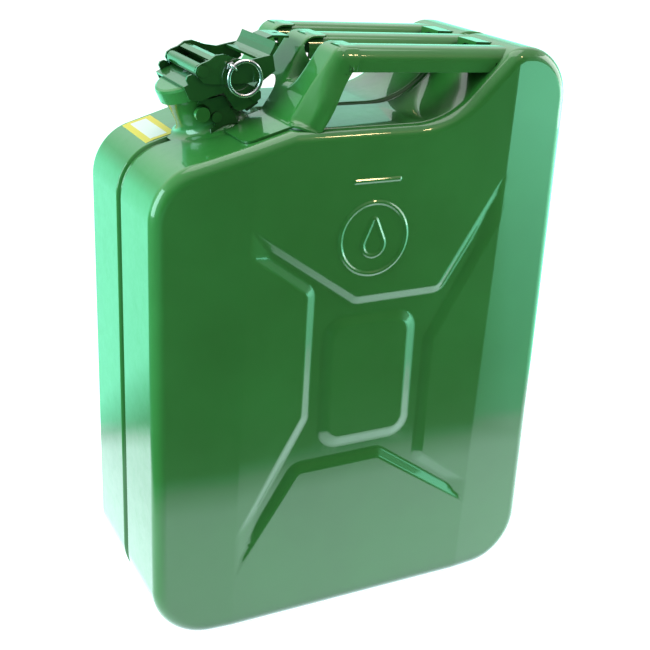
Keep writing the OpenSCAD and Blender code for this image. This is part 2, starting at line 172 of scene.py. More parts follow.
def soft_ramp(t, e):
    """0 below -e, t above e, and a smooth turn between."""
    return np.where(t < -e, 0, np.where(t > e, t, (t + e) ** 2 / (4 * e)))


def wall(t):
    """0 to 1 along a straight wall with small fillets at both ends."""
    return soft_ramp(t, TURN) - soft_ramp(t - 1, TURN)


def soft_min(a, b, k):
    h = np.clip(k - np.abs(a - b), 0, None)
    return np.minimum(a, b) - h * h / (4 * k)


def lines_of(panel):
    """Outward normal and a point for each side of a panel, whose body lies to the left."""
    p = np.array(panel, float)
    out = []
    for a, b in zip(p[:-1], p[1:]):
        e = unit(b - a)
        out.append((a, b, e, np.array([e[1], -e[0]])))
    return out


def rounded_inner(panel):
    """The panel's line moved inwards by its corner radius."""
    lines = lines_of(panel)
    pts = [lines[0][0] - lines[0][3] * PANEL_R]
    for (_, b, _, n1), (_, _, _, n2) in zip(lines[:-1], lines[1:]):
        pts.append(b - (n1 + n2) * PANEL_R / (1 + n1 @ n2))
    pts.append(lines[-1][1] - lines[-1][3] * PANEL_R)
    pts[0] = pts[0] - lines[0][2] * 60
    pts[-1] = pts[-1] + lines[-1][2] * 60
    return np.array(pts)


PANELS = []
for shape in (TOP_PANEL, SIDE_PANEL):
    panel = np.array(shape, float)
    PANELS += [panel, -panel]


def panel_gap(u, w, panel):
    """Distance outside a rounded panel, negative inside it."""
    pts = rounded_inner(panel)
    p = np.stack([u, w], -1)
    best, within = np.full(u.shape, 1e9), np.full(u.shape, True)
    for a, b in zip(pts[:-1], pts[1:]):
        e = b - a
        t = np.clip(((p - a) @ e) / (e @ e), 0, 1)
        best = np.minimum(best, np.linalg.norm(p - a - t[..., None] * e, axis=-1))
        n = unit(np.array([e[1], -e[0]]))
        within &= (p - a) @ n < 0
    return np.where(within, -PANEL_R, best - PANEL_R)


def box_gap(u, w, half_u, half_w, r):
    qu, qw = np.abs(u) - half_u + r, np.abs(w) - half_w + r
    return np.hypot(np.maximum(qu, 0), np.maximum(qw, 0)) + np.minimum(np.maximum(qu, qw), 0) - r


def bead(gap):
    """A round-topped bead along the line where gap is 0."""
    t = np.clip(np.abs(gap) / BEAD_W, 0, 1)
    return BEAD_H * (0.5 + 0.5 * np.cos(math.pi * t))


def face_depth(x, z):
    """How far the face is pressed in at x, z; raised beads are negative."""
    u, w = x - PRESS_X, z - PRESS_Z
    across = np.abs(u - CREASE_LEAN * w)
    strip = STRIP_SLOPE * soft_ramp(across - CREASE_U, 1.2)
    gap = np.minimum.reduce([panel_gap(u, w, p) for p in PANELS]) / WALL_W
    plateau = box_gap(u, w, *PLATEAU) / (WALL_W + 1)
    end = (CREASE_U - 1.5 - across) / END_W
    sunk = PRESS_D * wall(soft_min(soft_min(gap, plateau, 0.2), end, 0.3))
    ring = bead(np.hypot(x - RING_AT[0], z - RING_AT[1]) - RING_R)
    along = np.maximum(np.abs(x - BAR_AT[0]) - BAR_HALF, 0)
    bar = bead(np.hypot(along, z - BAR_AT[1]))
    drop = bead(drop_gap(x - RING_AT[0], z - RING_AT[1]))
    return strip + sunk - np.maximum(np.maximum(ring, bar), 0.8 * drop)


def drop_gap(x, z):
    """Distance from the outline of an upright droplet."""
    x, z = np.abs(x), z - DROP_LOW
    b = (DROP_R - DROP_TIP_R) / DROP_HEIGHT
    a = math.sqrt(1 - b * b)
    k = -b * x + a * z
    flank = a * x + b * z - DROP_R
    tip = np.hypot(x, z - DROP_HEIGHT) - DROP_TIP_R
    return np.where(k < 0, np.hypot(x, z) - DROP_R, np.where(k > a * DROP_HEIGHT, tip, flank))


def face_normals(x, z):
    """Outward normals of the front face from its slopes."""
    h = 0.02
    fx = (face_depth(x + h, z) - face_depth(x - h, z)) / (2 * h)
    fz = (face_depth(x, z + h) - face_depth(x, z - h)) / (2 * h)
    n = np.stack([fx, -np.ones_like(fx), fz], 1)
    return n / np.linalg.norm(n, axis=1)[:, None]


def offset_line(panel, d):
    """The rounded panel's outline at distance d, as points."""
    inner = rounded_inner(panel)
    lines = lines_of(panel)
    r = PANEL_R + d
    pts = [inner[0] + lines[0][3] * r]
    for (line, nxt, c) in zip(lines[:-1], lines[1:], inner[1:-1]):
        a0 = math.atan2(line[3][1], line[3][0])
        turn = (math.atan2(nxt[3][1], nxt[3][0]) - a0 + math.pi) % (2 * math.pi) - math.pi
        pts += [c + r * np.array([math.cos(a0 + turn * k / 6), math.sin(a0 + turn * k / 6)])
                for k in range(7)]
    pts.append(inner[-1] + lines[-1][3] * r)
    return resample(np.array(pts), LINE_STEP)


def resample(pts, spacing):
    """Adds points so that no step along the line is longer than spacing."""
    out = [pts[:1]]
    for a, b in zip(pts[:-1], pts[1:]):
        steps = max(1, math.ceil(np.linalg.norm(b - a) / spacing))
        out.append(a + (b - a) * np.linspace(0, 1, steps + 1)[1:, None])
    return np.concatenate(out)


def circle_line(centre, r):
    ang = np.linspace(0, 2 * math.pi, 73)
    return np.array(centre) + r * np.stack([np.cos(ang), np.sin(ang)], 1)


def box_line(d):
    """The middle panel's outline at distance d."""
    hu, hw, r = PLATEAU
    pts = []
    for k, (su, sw) in enumerate([(1, 1), (-1, 1), (-1, -1), (1, -1)]):
        ang = math.pi / 2 * (k + np.linspace(0, 1, 7))
        pts.append(np.stack([su * (hu - r) + (r + d) * np.cos(ang),
                             sw * (hw - r) + (r + d) * np.sin(ang)], 1))
    pts = np.concatenate(pts)
    return resample(np.concatenate([pts, pts[:1]]), LINE_STEP)


def feature_lines():
    """Lines on the face where the surface turns, in can coordinates."""
    fillet = TURN * WALL_W
    at = [-fillet, 0, fillet, WALL_W - fillet, WALL_W, WALL_W + fillet]
    centre = np.array([PRESS_X, PRESS_Z])
    lines = [offset_line(p, d) + centre for p in PANELS for d in at]
    lines += [box_line(d * (WALL_W + 1) / WALL_W) + centre for d in at]
    for side in (-1, 1):
        for d in (-END_W - 4, -END_W - 1.5, -3.5, -1.5, 0, 1.2):
            w = np.linspace(-205, 255, 150)
            u = side * (CREASE_U + d) + CREASE_LEAN * w
            lines.append(np.stack([u, w], 1) + centre)
    for d in (-BEAD_W, -1.7, -0.8, 0, 0.8, 1.7, BEAD_W):
        lines.append(circle_line(RING_AT, RING_R + d))
        if d > 0:
            lines.append(bar_line(d))
    return lines


def bar_line(d):
    """The line round the bar bead at distance d."""
    pts = []
    for side in (1, -1):
        for a in np.linspace(0, math.pi, 9):
            along = BAR_HALF + d * math.sin(a)
            pts.append((BAR_AT[0] + side * along, BAR_AT[1] + side * d * math.cos(a)))
    return resample(np.array(pts + pts[:1]), LINE_STEP)


def triangulate(loop, lines, grid):
    """Triangles inside a loop that follow the lines: points, triangles and the loop's rim."""
    count = len(loop)
    pts = [loop]
    edges = [(i, (i + 1) % count) for i in range(count)]
    for line in lines:
        ok = inside(line, loop)
        pts.append(line)
        edges += [(count + i, count + i + 1) for i in range(len(line) - 1) if ok[i] and ok[i + 1]]
        count += len(line)
    pts.append(grid)
    pts = np.concatenate(pts)
    out = geometry.delaunay_2d_cdt([Vector(p) for p in pts], edges, [], 0, 1e-3, True)
    verts = np.array([v[:] for v in out[0]])
    tris = np.array(out[2])
    tris = tris[inside(verts[tris].mean(1), loop)]
    area = np.cross(verts[tris[:, 1]] - verts[tris[:, 0]], verts[tris[:, 2]] - verts[tris[:, 0]])
    tris[area < 0] = tris[area < 0][:, ::-1]
    where = {}
    for i, origins in enumerate(out[3]):
        for o in origins:
            where[o] = i
    rim = [where[i] for i in range(len(loop))]
    used = np.unique(np.concatenate([tris.ravel(), rim]))
    new = np.full(len(verts), -1)
    new[used] = np.arange(len(used))
    return verts[used], new[tris], new[rim]


def face_grid(loop):
    """Points to fill the face: close together near the pressing, wide apart elsewhere."""
    fine = np.stack(np.meshgrid(np.arange(-160, 165, 5.0), np.arange(12, 455, 5.0)), -1)
    pts = fine.reshape(-1, 2)
    near = np.abs(face_normals(pts[:, 0], pts[:, 1])[:, 1]) < 0.98
    coarse = (np.round(pts[:, 0] / 5) % 3 == 0) & (np.round((pts[:, 1] - 12) / 5) % 3 == 0)
    mark = np.stack(np.meshgrid(np.arange(-13, 14, 0.9), np.arange(-17, 20, 0.9)), -1)
    return np.concatenate([pts[(near | coarse) & inside(pts, loop)],
                           mark.reshape(-1, 2) + np.array(RING_AT)])


# ---------- mesh helpers ----------

def add_mesh(name, verts, faces, normals=None, smooth=True):
    """A mesh object from millimetre points."""
    mesh = bpy.data.meshes.new(name)
    mesh.from_pydata((np.asarray(verts) * MM).tolist(), [], [list(map(int, f)) for f in faces])
    mesh.update()
    if smooth:
        mesh.shade_smooth()
    if normals is not None:
        mesh.normals_split_custom_set_from_vertices(np.asarray(normals).tolist())
    obj = bpy.data.objects.new(name, mesh)
    bpy.context.scene.collection.objects.link(obj)
    return obj


def edge_ends(faces):
    """Directed edges used by one face only, in the faces' order."""
    seen = dict.fromkeys((int(a), int(b)) for f in faces for a, b in zip(f, np.roll(f, -1)))
    return [(a, b) for (a, b) in seen if (b, a) not in seen]


def thicken(verts, normals, faces, t):
    """Gives a sheet its thickness t below its outer skin, with closed edges."""
    n = len(verts)
    faces = [list(map(int, f)) for f in faces]
    rims = [[b, a, a + n, b + n] for a, b in edge_ends(faces)]
    back = [[i + n for i in reversed(f)] for f in faces]
    return (np.concatenate([verts, verts - normals * t]),
            np.concatenate([normals, -normals]), faces + back + rims)


# ---------- shells ----------

# The side from the end of the edge's round to the weld: inset, y and the lean of the
# surface's normal from straight out, in degrees.
SIDE_PROFILE = [(0, -60, 0), (0, -40, 0), (0, -20, 0), (0, -7, 0), (0, -6.1, 0),
                (0.15, -5.5, 25), (0.6, -5.0, 50), (2.4, -4.3, 62), (2.95, -3.9, 38),
                (GROOVE_D, -3.3, 0), (GROOVE_D, -1.2, 0)]
HOLE_R = 26.5              # the opening under the spout
ROUND_STEPS = 8            # steps of the round between a face and the sides


def spout_gap(verts):
    """Distance from the spout's axis."""
    axis, at = np.array(SPOUT_AXIS), np.array(SPOUT_AT)
    d = verts - at
    return np.linalg.norm(d - (d @ axis)[:, None] * axis, axis=1)


def shell_mesh():
    """The front half's outer skin: pressed face, round edge and side with its groove."""
    loop, outward = outline(EDGE_R)
    flat, tris, rim = triangulate(loop, feature_lines(), face_grid(outline(EDGE_R + 4)[0]))
    verts = np.stack([flat[:, 0], FACE_Y + face_depth(flat[:, 0], flat[:, 1]), flat[:, 1]], 1)
    normals = face_normals(flat[:, 0], flat[:, 1])
    faces = [list(t) for t in tris]
    y0 = FACE_Y + face_depth(loop[:, 0], loop[:, 1])
    first_n = normals[rim]
    rows = [rim]
    all_v, all_n = [verts], [normals]
    count = len(verts)
    out3 = np.stack([outward[:, 0], np.zeros(len(loop)), outward[:, 1]], 1)
    layers = []
    for k in range(1, ROUND_STEPS + 1):
        a = math.pi / 2 * k / ROUND_STEPS
        layers.append((EDGE_R * (1 - math.sin(a)), y0 + EDGE_R * (1 - math.cos(a)),
                       first_n * math.cos(a) + out3 * math.sin(a)))
    for inset, y, lean in SIDE_PROFILE:
        n = out3 * math.cos(math.radians(lean)) + np.array([0, math.sin(math.radians(lean)), 0])
        layers.append((inset, np.full(len(loop), float(y)), n))
    for inset, y, n in layers:
        ring = outline(inset)[0]
        all_v.append(np.stack([ring[:, 0], y, ring[:, 1]], 1))
        all_n.append(n / np.linalg.norm(n, axis=1)[:, None])
        rows.append(count + np.arange(len(ring)))
        count += len(ring)
    for r0, r1 in zip(rows[:-1], rows[1:]):
        a, b = r0, np.roll(r0, -1)
        c, d = np.roll(r1, -1), r1
        faces += np.stack([a, d, c, b], 1).tolist()
    verts, normals = np.concatenate(all_v), np.concatenate(all_n)
    return open_hole(verts, normals, faces)


def open_hole(verts, normals, faces):
    """Cuts the round hole under the spout in the shoulder."""
    gap = spout_gap(verts)
    high = verts[:, 2] > SHOULDER_Z
    hole = (gap < HOLE_R) & high
    faces = [f for f in faces if not all(hole[i] for i in f)]
    axis, at = np.array(SPOUT_AXIS), np.array(SPOUT_AT)
    d = verts - at
    foot = at + (d @ axis)[:, None] * axis
    pushed = foot + (verts - foot) * (HOLE_R / np.maximum(gap, 1e-3))[:, None]
    used = np.unique(np.concatenate([np.array(f) for f in faces]))
    verts = np.where(hole[:, None], pushed, verts)
    new = np.full(len(verts), -1)
    new[used] = np.arange(len(used))
    return verts[used], normals[used], [[int(new[i]) for i in f] for f in faces]


def make_shells():
    verts, normals, faces = thicken(*shell_mesh(), SHEET)
    front = add_mesh("front_half", verts, faces, normals)
    flip = np.array([1, -1, 1])
    rear = add_mesh("rear_half", verts * flip, [f[::-1] for f in faces], normals * flip)
    return front, rear


def make_weld():
    """The lumpy weld bead at the bottom of the seam's groove."""
    loop, outward = outline(GROOVE_D, 24, 3.0)
    n = len(loop)
    section = np.linspace(0, math.pi, 9)
    verts = []
    for i in range(n):
        at = noise.noise(Vector((loop[i][0], loop[i][1], 3.0)) * 0.13)
        fine = noise.noise(Vector((loop[i][0], loop[i][1], 9.0)) * 0.45)
        half = 2.3 + 0.7 * at + 0.35 * fine
        high = 1.0 + 0.45 * at + 0.3 * fine
        for a in section:
            lift = -0.3 + high * math.sin(a)
            x, z = loop[i] + outward[i] * lift
            verts.append((x, -half * math.cos(a), z))
    m = len(section)
    faces = []
    gap = spout_gap(np.array(verts))
    for i in range(n):
        j = (i + 1) % n
        for k in range(m - 1):
            quad = [i * m + k, j * m + k, j * m + k + 1, i * m + k + 1]
            near = min(gap[q] for q in quad) < HOLE_R + 2.5 and verts[quad[0]][2] > SHOULDER_Z
            if not near:
                faces.append(quad)
    return add_mesh("weld_line", verts, faces)


front, rear = make_shells()
for obj, node in ((front, "front_shell"), (rear, "rear_shell")):
    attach(obj, "can")
    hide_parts(node)
weld = make_weld()
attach(weld, "can")
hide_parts("weld_seam")


# ---------- spout neck ----------

NECK_R = 24.6
THROAT_R = 22.6
LIP_H = 38.0
LIP_BEAD = 1.3
FOOT_FILLET = 11.0
NECK_T = 1.6
MOUTH_DEPTH = 11.0
SPOUT_LEAN = math.atan2(-SPOUT_AXIS.x, SPOUT_AXIS.z)
FOOT_DROP = math.tan(SPOUT_LEAN - math.atan2(SADDLE_Z - SHOULDER_Z, HALF_W + SADDLE_X))


def neck_profile(ray):
    """Radius and height along the neck's skin in one direction: foot, lip, then the bore."""
    foot = np.array([NECK_R + FOOT_FILLET, -(NECK_R + FOOT_FILLET) * ray * FOOT_DROP - 0.3])
    corner = np.array([NECK_R, -NECK_R * ray * FOOT_DROP])
    top = corner + (0, FOOT_FILLET)
    t = np.linspace(0, 1, 12)[:, None]
    fillet = foot * (1 - t) ** 2 + 2 * corner * t * (1 - t) + top * t ** 2
    ang = np.linspace(-0.5, 1, 13) * math.pi
    lip = np.stack([NECK_R + LIP_BEAD * (1 + np.cos(ang)),
                    LIP_H - LIP_BEAD + LIP_BEAD * np.sin(ang)], 1)
    bore_r = NECK_R - NECK_T
    bore = [(bore_r, LIP_H - 2), (bore_r, LIP_H - MOUTH_DEPTH),
            (THROAT_R, LIP_H - MOUTH_DEPTH - 0.2), (THROAT_R, -12)]
    return np.concatenate([fillet, lip, bore])


def make_neck(around=96):
    """The spout's neck, swept round its axis, with a foot that flows into the shoulder."""
    base = SPOUT_AT - SPOUT_AXIS * (SPOUT_AT.x - SPOUT_X) / SPOUT_AXIS.x
    across = Vector((SPOUT_AXIS.z, 0, -SPOUT_AXIS.x))
    verts = []
    for k in range(around):
        a = 2 * math.pi * k / around
        out = across * math.cos(a) + Vector((0, math.sin(a), 0))
        verts += [base + out * r + SPOUT_AXIS * v for r, v in neck_profile(math.cos(a))]
    m = len(verts) // around
    faces = [[k * m + i, (k + 1) % around * m + i, (k + 1) % around * m + i + 1, k * m + i + 1]
             for k in range(around) for i in range(m - 1)]
    return add_mesh("neck", verts, faces)


neck = make_neck()
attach(neck, "can")
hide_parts("spout_neck")


# ---------- handles ----------

HANDLE_SLOPE = math.radians(2.2)
HANDLE_W = 30.0
HANDLE_H = 18.0
HANDLE_T = 1.6
HANDLE_R = 11.0                    # rounding of the channel's top corners
HANDLE_END = 118.0                 # where the crest runs into the hump
CREST_X, CREST_RISE = 38, 57       # the crest's place from the bracket's bend
CREST_R = 13.0
LEAN = math.atan2(CREST_X, CREST_RISE)     # the comb plate's lean from upright


def channel_section(w, h, r, t):
    """Closed section of a U-shaped channel, open below: (across, depth) pairs."""
    arc = 8

    def skin(half, r, top, low):
        pts = [(-half, -low)]
        for k in range(arc + 1):
            a = math.pi / 2 * k / arc
            pts.append((-half + r - r * math.cos(a), -top - r + r * math.sin(a)))
        for k in range(arc + 1):
            a = math.pi / 2 * (1 - k / arc)
            pts.append((half - r + r * math.cos(a), -top - r + r * math.sin(a)))
        pts.append((half, -low))
        return pts
    return skin(w / 2, r, 0, h) + skin(w / 2 - t, r - t, t, h)[::-1]


def handle_path():
    """Crest line (x, z) of a handle from its bracket to the hump."""
    crest = np.array([SADDLE_X + CREST_X, SADDLE_Z + CREST_RISE])
    along = np.array([math.cos(HANDLE_SLOPE), -math.sin(HANDLE_SLOPE)])
    far = crest + along * ((HANDLE_END - crest[0]) / along[0])
    start = crest + along * 2
    return start + (far - start) * np.linspace(0, 1, 13)[:, None]


def hump_x(z):
    """Where a handle's end stops inside the hump's slope at height z."""
    round_top = max(0.0, z - (HUMP_Z - 12)) * 0.45
    slope = (HUMP_X - HOLLOW_X) / (HUMP_Z - SADDLE_Z)
    return HOLLOW_X + (z - SADDLE_Z) * slope + 2 + round_top


def make_handle(name, y):
    """One handle's channel, closed at both ends, with its middle at y."""
    path = handle_path()
    d = np.gradient(path, axis=0)
    d /= np.linalg.norm(d, axis=1)[:, None]
    normal = np.stack([-d[:, 1], d[:, 0]], 1)
    section = channel_section(HANDLE_W, HANDLE_H, HANDLE_R, HANDLE_T)
    m = len(section)
    verts = []
    for i, (p, n) in enumerate(zip(path, normal)):
        for across, depth in section:
            x, z = p + n * depth
            if i == len(path) - 1:
                x = hump_x(z)
            verts.append((x, y + across, z))
    faces = []
    for i in range(len(path) - 1):
        for k in range(m):
            j = (k + 1) % m
            faces.append([i * m + k, i * m + j, (i + 1) * m + j, (i + 1) * m + k])
    for end in (0, len(path) - 1):
        for k in range(m // 2 - 1):
            quad = [end * m + k, end * m + m - 1 - k, end * m + m - 2 - k, end * m + k + 1]
            faces.append(quad if end else quad[::-1])
    obj = add_mesh(name, verts, faces)
    soften(obj, 0.5, 35)
    return obj


def soften(obj, width, angle):
    """Rounds sharp edges and keeps flat surfaces flat."""
    b = obj.modifiers.new("edges", "BEVEL")
    b.width = width * MM
    b.segments = 2
    b.limit_method = "ANGLE"
    b.angle_limit = math.radians(angle)
    b.harden_normals = True
    b.use_clamp_overlap = True


pitch = (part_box("handle_rear")[0].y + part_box("handle_rear")[1].y) / 2 / MM
for name, y in (("handle_front", -pitch), ("handle_middle", 0), ("handle_rear", pitch)):
    obj = make_handle(name.replace("handle", "grip"), y)
    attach(obj, "can")
    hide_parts(name)


# ---------- comb bracket ----------

COMB_FOOT = -36.0
COMB_T = 1.6
FOOT_HALF = 71.0                   # half width of the foot
FLARE, TAPER = 8.0, 5.0            # widening above the foot, narrowing towards the top
FLANGE_AT = 64.0                   # where the outer flanges turn back
FACET_D, LIP_D = 12.0, 6.0         # how far a flange and its edge lie behind the plate
ROLL_D = 16.0                      # how far the outer prongs' sides reach back
VALLEY_D, VALLEY_HALF = 15.0, 13.5 # depth and half width of the folds between prongs
PRONG_HALF = 17.2                  # half width of a prong
WINDOW_AT, WINDOW_HALF = 14.0, 15.0
NOTCH_AT, NOTCH_R = 51.0, 6.0
FOOT_TILT = math.atan2(SADDLE_Z - SHOULDER_Z, HALF_W + SADDLE_X)
PLATE_UP = math.pi / 2 - LEAN
FOOT_R = 7.0
PLATE_RISE = (CREST_RISE - 2) / math.cos(LEAN)            # foot bend to crest, along the plate
BEND_BACK = CREST_R * math.tan((PLATE_UP + HANDLE_SLOPE) / 2)
COMB_BEND = PLATE_RISE - BEND_BACK                        # where the prongs start to bend over
COMB_TOP = COMB_BEND + CREST_R * (PLATE_UP + HANDLE_SLOPE) + 9


def comb_heading(s):
    """Direction of the bracket's surface at s, as an angle above level."""
    half = FOOT_R * (PLATE_UP - FOOT_TILT) / 2
    rise = np.clip((s + half) / (2 * half), 0, 1)
    over = np.clip((s - COMB_BEND) / CREST_R, 0, PLATE_UP + HANDLE_SLOPE)
    return FOOT_TILT + (PLATE_UP - FOOT_TILT) * rise - over


COMB_S = np.linspace(COMB_FOOT - 4, COMB_TOP + 6, 800)
COMB_X = np.cumsum(np.cos(comb_heading(COMB_S))) * (COMB_S[1] - COMB_S[0])
COMB_Z = np.cumsum(np.sin(comb_heading(COMB_S))) * (COMB_S[1] - COMB_S[0])
COMB_X += SADDLE_X - np.interp(0, COMB_S, COMB_X)
COMB_Z += SADDLE_Z + COMB_T + 0.8 - np.interp(0, COMB_S, COMB_Z)


def comb_surface(s, y):
    """Outer skin of the bracket: s runs down the foot below 0 and up the prongs above 0."""
    x, z = np.interp(s, COMB_S, COMB_X), np.interp(s, COMB_S, COMB_Z)
    head, back = comb_heading(s), comb_fold(s, y)
    return np.stack([x + back * np.sin(head), y, z - back * np.cos(head)], 1)


def smooth(t):
    """0 to 1 with a level start and end."""
    t = np.clip(t, 0, 1)
    return t * t * (3 - 2 * t)


def roll(t):
    """0 to 1 along a quarter round that starts flat and ends square to the sheet."""
    return 1 - np.sqrt(1 - np.clip(t, 0, 1) ** 2)


def comb_edge(s):
    """Half width of the bracket: foot, flared flanges, then the outer handles' width."""
    return FOOT_HALF + FLARE * smooth((s + 2) / 8) - TAPER * smooth((s - 20) / 35)


def comb_fold(s, y):
    """How far the plate's flanges and the edges of its prongs are pressed back."""
    high = smooth((s - 12) / 40)
    out = (np.abs(y) - FLANGE_AT) / (comb_edge(s) - FLANGE_AT - 0.5)
    facet = FACET_D * soft_ramp(np.clip(out, -1, 1), 0.12)
    lip = LIP_D * smooth((np.abs(y) - comb_edge(s) + 4) / 4)
    outer = (facet + lip) * (1 - high) * smooth((s - 1) / 6) + ROLL_D * roll(out) * high
    valley = VALLEY_HALF - np.abs(np.abs(y) - pitch / 2)
    inner = VALLEY_D * smooth((s - 22) / 28) * roll(valley / 8)
    return outer + inner


def arc_points(s, y, r_s, r_y, angles):
    """Points round (s, y) of the bracket's developed outline."""
    return [(s + r_s * math.cos(a), y + r_y * math.sin(a)) for a in angles]


def comb_loop():
    """The bracket's developed outline, with its arched window and two notches."""
    r, quarter = 8, math.pi / 2
    right = [(COMB_FOOT, 17), (COMB_FOOT, FOOT_HALF - r)]
    right += arc_points(COMB_FOOT + r, FOOT_HALF - r, -r, r, np.linspace(0.2, quarter, 6))
    right += [(s, comb_edge(s)) for s in np.linspace(-6, COMB_TOP - 3, 30)]
    right += [(COMB_TOP, pitch + 15), (COMB_TOP, pitch - 15),
              (COMB_TOP - 3, pitch - PRONG_HALF), (COMB_BEND, pitch - PRONG_HALF)]
    right += arc_points(NOTCH_AT, pitch / 2, NOTCH_R, NOTCH_R,
                        np.linspace(quarter, 3 * quarter, 11))
    right += [(COMB_BEND, PRONG_HALF), (COMB_TOP - 3, PRONG_HALF), (COMB_TOP, 15)]
    left = [(s, -y) for s, y in reversed(right)]
    arch = arc_points(WINDOW_AT, 0, WINDOW_HALF, -WINDOW_HALF,
                      np.linspace(-quarter, quarter, 17))
    window = [(COMB_FOOT, WINDOW_HALF)] + arch + [(COMB_FOOT, -WINDOW_HALF)]
    loop = right + left + window[::-1]
    return resample(np.array(loop + loop[:1]), LINE_STEP)[:-1]


def pressed_sheet(name, loop, surface, lines, spacing, t):
    """A sheet inside a flat loop, shaped by a surface function, with thickness t."""
    lo, hi = loop.min(0), loop.max(0)
    gx = np.arange(lo[0] + spacing, hi[0], spacing)
    gy = np.arange(lo[1] + spacing, hi[1], spacing)
    grid = np.stack(np.meshgrid(gx, gy), -1).reshape(-1, 2)
    grid = grid[inside(grid, loop)]
    flat, tris, _ = triangulate(loop, lines, grid)
    h = 0.05
    a, b = flat[:, 0], flat[:, 1]
    verts = surface(a, b)
    n = np.cross(surface(a + h, b) - surface(a - h, b), surface(a, b + h) - surface(a, b - h))
    n /= np.linalg.norm(n, axis=1)[:, None]
    verts, _, faces = thicken(verts, n, tris, t)
    return add_mesh(name, verts, faces)


def make_comb():
    """The bracket's sheet, meshed along the turned edges of its flanges."""
    along = np.linspace(-4, COMB_TOP - 1, 60)
    lines = [np.stack([along, side * (comb_edge(along) - d)], 1)
             for side in (-1, 1) for d in (0.8, 1.8, 2.8, 4, 5.5, 7)]
    obj = pressed_sheet("comb_bracket", comb_loop(), comb_surface, lines, 1.8, COMB_T)
    soften(obj, 0.5, 50)
    return obj


comb = make_comb()
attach(comb, "can")
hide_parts("handle_bracket")


# ---------- materials ----------

def node_tree(name):
    mat = bpy.data.materials.new(name)
    mat.use_nodes = True
    tree = mat.node_tree
    return mat, tree, tree.nodes["Principled BSDF"]


def link(tree, a, out, b, inp):
    tree.links.new(a.outputs[out], b.inputs[inp])


def add_node(tree, kind, **values):
    node = tree.nodes.new("ShaderNode" + kind)
    for key, value in values.items():
        if hasattr(node, key):
            setattr(node, key, value)
        else:
            node.inputs[key.replace("_", " ")].default_value = value
    return node


def fade_node(tree, source, out, start, end, low=0.0, high=1.0):
    """Maps source from start..end to low..high, clamped."""
    m = tree.nodes.new("ShaderNodeMapRange")
    for key, value in (("From Min", start), ("From Max", end), ("To Min", low), ("To Max", high)):
        m.inputs[key].default_value = value
    link(tree, source, out, m, "Value")
    return m


def math_node(tree, operation, *terms):
    """A math node whose terms are numbers or (node, output) pairs."""
    m = add_node(tree, "Math", operation=operation)
    for i, term in enumerate(terms):
        if isinstance(term, tuple):
            link(tree, term[0], term[1], m, i)
        else:
            m.inputs[i].default_value = term
    return m


def brightest(tree, sources):
    """The largest of several nodes' values."""
    top = sources[0]
    for other in sources[1:]:
        top = math_node(tree, "MAXIMUM", (top, 0), (other, 0))
    return top


def object_place(tree):
    """The point's place in its object, split into X, Y and Z."""
    split = add_node(tree, "SeparateXYZ")
    link(tree, add_node(tree, "TexCoord"), "Object", split, "Vector")
    return split


def noise_node(tree, scale, detail=4.0, rough=0.5):
    coords = tree.nodes.new("ShaderNodeTexCoord")
    n = tree.nodes.new("ShaderNodeTexNoise")
    n.inputs["Scale"].default_value = scale
    n.inputs["Detail"].default_value = detail
    n.inputs["Roughness"].default_value = rough
    link(tree, coords, "Object", n, "Vector")
    return n


def ramp_node(tree, source, stops):
    r = tree.nodes.new("ShaderNodeValToRGB")
    link(tree, source, 0, r, "Fac")
    for i, (at, colour) in enumerate(stops):
        e = r.color_ramp.elements[i] if i < 2 else r.color_ramp.elements.new(at)
        e.position = at
        e.color = (*colour, 1)
    return r


def bump_node(tree, source, bsdf, strength, distance):
    b = tree.nodes.new("ShaderNodeBump")
    b.inputs["Strength"].default_value = strength
    b.inputs["Distance"].default_value = distance * MM
    link(tree, source, 0, b, "Height")
    link(tree, b, "Normal", bsdf, "Normal")


def grey(v):
    return (v, v, v)


def mix_node(tree, factor, a, b, blend="MIX"):
    """Mixes two colours, each given as a colour or as a (node, output) pair."""
    mix = tree.nodes.new("ShaderNodeMix")
    mix.data_type = "RGBA"
    mix.blend_type = blend
    for name, term in (("A", a), ("B", b)):
        if isinstance(term[1], str):
            link(tree, term[0], term[1], mix, name)
        else:
            mix.inputs[name].default_value = (*term, 1)
    if isinstance(factor, float):
        mix.inputs["Factor"].default_value = factor
    else:
        link(tree, factor, 0, mix, "Factor")
    return mix


ENAMEL_ROUGH = 0.3


def painted(name, dark, light):
    """Glossy enamel with a slight orange peel and clouding, with painted shade darkening its
    creases and the gaps between close parts.
    """
    mat, tree, bsdf = node_tree(name)
    cloud = noise_node(tree, 9, 3)
    colour = ramp_node(tree, cloud, [(0.3, dark), (0.7, light)])
    # painted shade: ambient occlusion darkens the base colour in creases and where parts lie close
    # together
    open_to = tree.nodes.new("ShaderNodeAmbientOcclusion")
    open_to.inputs["Distance"].default_value = 25 * MM
    shade = ramp_node(tree, open_to, [(0.25, grey(0.3)), (0.85, grey(1.0))])
    shaded = mix_node(tree, 1.0, (colour, "Color"), (shade, "Color"), "MULTIPLY")
    link(tree, shaded, "Result", bsdf, "Base Color")
    wear = ramp_node(tree, noise_node(tree, 90, 6, 0.7),
                     [(0.35, grey(ENAMEL_ROUGH)), (0.8, grey(ENAMEL_ROUGH + 0.12))])
    link(tree, wear, "Color", bsdf, "Roughness")
    bump_node(tree, noise_node(tree, 30, 3, 0.4), bsdf, 0.10, 1.0)
    bsdf.inputs["Specular IOR Level"].default_value = 0.25
    bsdf.inputs["Coat Weight"].default_value = 1.0
    bsdf.inputs["Coat Roughness"].default_value = 0.03
    return mat


